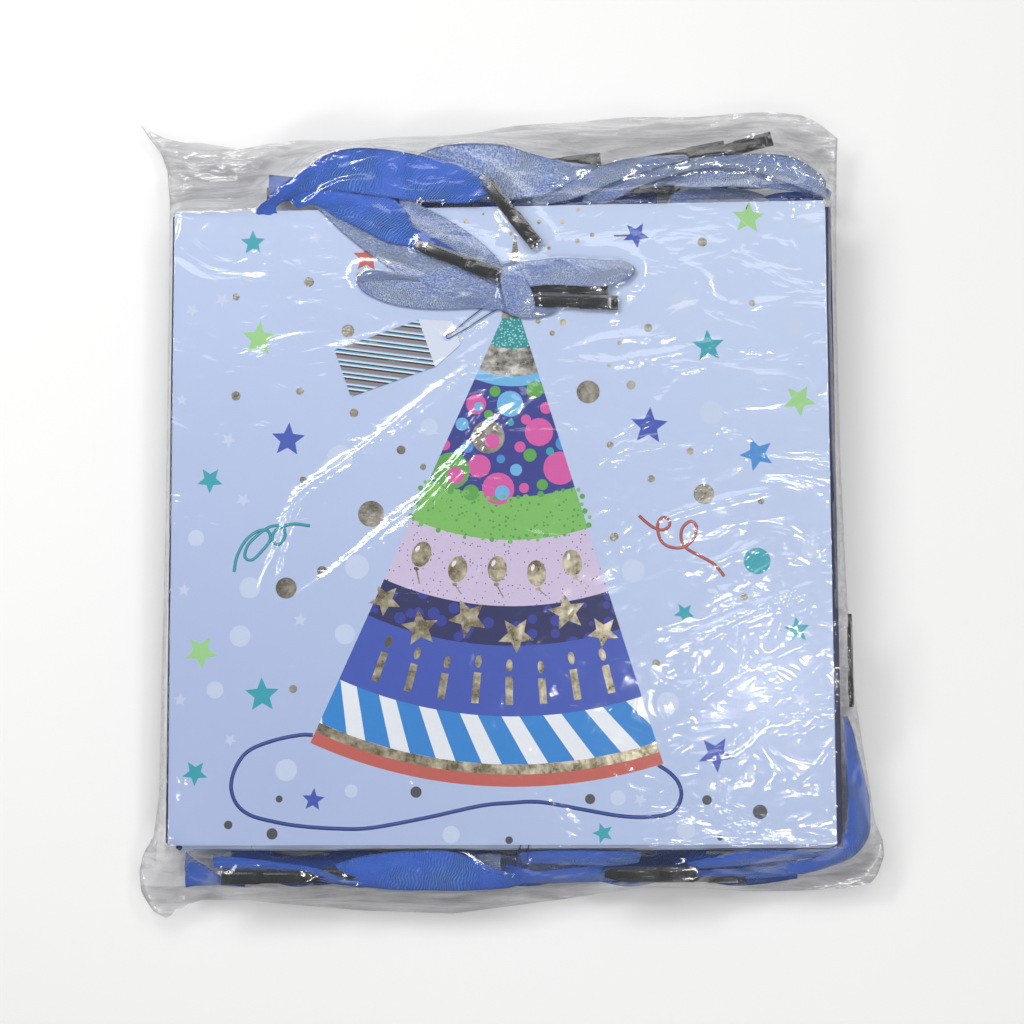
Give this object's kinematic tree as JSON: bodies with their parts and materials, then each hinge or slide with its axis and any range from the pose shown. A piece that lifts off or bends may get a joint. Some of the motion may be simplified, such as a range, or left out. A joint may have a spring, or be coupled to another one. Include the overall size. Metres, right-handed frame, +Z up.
{
  "type": "gift bag pack",
  "caption": "Flat-folded square paper gift bags with satin ribbon handles, boards and tags, stacked in a clear open-ended film bag they slide out of.",
  "frame": {"origin": "middle of the film bag's underside, on the surface that the pack lies on", "axes": "+X across the bags, +Y towards the open mouth of the film bag and the top edge of the top gift bag, +Z up through the stack"},
  "size_m": [0.2902, 0.315, 0.0297],
  "materials": {
    "film": "clear thin polypropylene film, glossy and creased",
    "printed_paper": "coated art paper, satin, printed",
    "hem_card": "grey-white board",
    "base_board": "grey-white board",
    "ribbon_light": "satin ribbon, periwinkle",
    "ribbon_blue": "satin ribbon, royal blue",
    "tip_plastic": "moulded, black, semi-gloss",
    "tag_card": "coated card with a foil stripe",
    "string": "fine twisted thread"
  },
  "bodies": {
    "film": {"film_bag": "film"},
    "bag_1": {"bag_1_body": "printed_paper", "bag_1_front_hem_card": "hem_card", "bag_1_back_hem_card": "hem_card", "bag_1_base_board": "base_board", "bag_1_front_handle": "ribbon_light", "bag_1_back_handle": "ribbon_blue", "bag_1_handle_tips": "tip_plastic", "bag_1_tag_string": "string"},
    "tag_1": {"bag_1_tag": "tag_card"},
    "bag_2": {"bag_2_body": "printed_paper", "bag_2_front_hem_card": "hem_card", "bag_2_back_hem_card": "hem_card", "bag_2_base_board": "base_board", "bag_2_front_handle": "ribbon_blue", "bag_2_back_handle": "ribbon_light", "bag_2_handle_tips": "tip_plastic", "bag_2_tag_string": "string"},
    "tag_2": {"bag_2_tag": "tag_card"},
    "bag_3": {"bag_3_body": "printed_paper", "bag_3_front_hem_card": "hem_card", "bag_3_back_hem_card": "hem_card", "bag_3_base_board": "base_board", "bag_3_front_handle": "ribbon_light", "bag_3_back_handle": "ribbon_blue", "bag_3_handle_tips": "tip_plastic", "bag_3_tag_string": "string"},
    "tag_3": {"bag_3_tag": "tag_card"},
    "bag_4": {"bag_4_body": "printed_paper", "bag_4_front_hem_card": "hem_card", "bag_4_back_hem_card": "hem_card", "bag_4_base_board": "base_board", "bag_4_front_handle": "ribbon_blue", "bag_4_back_handle": "ribbon_light", "bag_4_handle_tips": "tip_plastic", "bag_4_tag_string": "string"},
    "tag_4": {"bag_4_tag": "tag_card"},
    "bag_5": {"bag_5_body": "printed_paper", "bag_5_front_hem_card": "hem_card", "bag_5_back_hem_card": "hem_card", "bag_5_base_board": "base_board", "bag_5_front_handle": "ribbon_light", "bag_5_back_handle": "ribbon_blue", "bag_5_handle_tips": "tip_plastic", "bag_5_tag_string": "string"},
    "tag_5": {"bag_5_tag": "tag_card"},
    "bag_6": {"bag_6_body": "printed_paper", "bag_6_front_hem_card": "hem_card", "bag_6_back_hem_card": "hem_card", "bag_6_base_board": "base_board", "bag_6_front_handle": "ribbon_blue", "bag_6_back_handle": "ribbon_light", "bag_6_handle_tips": "tip_plastic", "bag_6_tag_string": "string"},
    "tag_6": {"bag_6_tag": "tag_card"}
  },
  "joints": [
    {"name": "bag_1_slide", "type": "slide", "parent": "film", "child": "bag_1", "axis": [0, 1, 0], "range_m": [0, 0.31]},
    {"name": "tag_1_swing", "type": "hinge", "parent": "bag_1", "child": "tag_1", "pos_m": [-0.02375, 0.069, 0.02527], "axis": [0, 0, 1], "range_deg": [-60, 60]},
    {"name": "bag_2_slide", "type": "slide", "parent": "film", "child": "bag_2", "axis": [0, 1, 0], "range_m": [0, 0.31]},
    {"name": "tag_2_swing", "type": "hinge", "parent": "bag_2", "child": "tag_2", "pos_m": [0.01275, -0.1085, 0.02102], "axis": [0, 0, 1], "range_deg": [-60, 60]},
    {"name": "bag_3_slide", "type": "slide", "parent": "film", "child": "bag_3", "axis": [0, 1, 0], "range_m": [0, 0.31]},
    {"name": "tag_3_swing", "type": "hinge", "parent": "bag_3", "child": "tag_3", "pos_m": [-0.02025, 0.0975, 0.01678], "axis": [0, 0, 1], "range_deg": [-60, 60]},
    {"name": "bag_4_slide", "type": "slide", "parent": "film", "child": "bag_4", "axis": [0, 1, 0], "range_m": [0, 0.31]},
    {"name": "tag_4_swing", "type": "hinge", "parent": "bag_4", "child": "tag_4", "pos_m": [0.01175, -0.1095, 0.01252], "axis": [0, 0, 1], "range_deg": [-60, 60]},
    {"name": "bag_5_slide", "type": "slide", "parent": "film", "child": "bag_5", "axis": [0, 1, 0], "range_m": [0, 0.31]},
    {"name": "tag_5_swing", "type": "hinge", "parent": "bag_5", "child": "tag_5", "pos_m": [-0.01925, 0.098, 0.00827], "axis": [0, 0, 1], "range_deg": [-60, 60]},
    {"name": "bag_6_slide", "type": "slide", "parent": "film", "child": "bag_6", "axis": [0, 1, 0], "range_m": [0, 0.31]},
    {"name": "tag_6_swing", "type": "hinge", "parent": "bag_6", "child": "tag_6", "pos_m": [0.01125, -0.1075, 0.00402], "axis": [0, 0, 1], "range_deg": [-60, 60]}
  ]
}
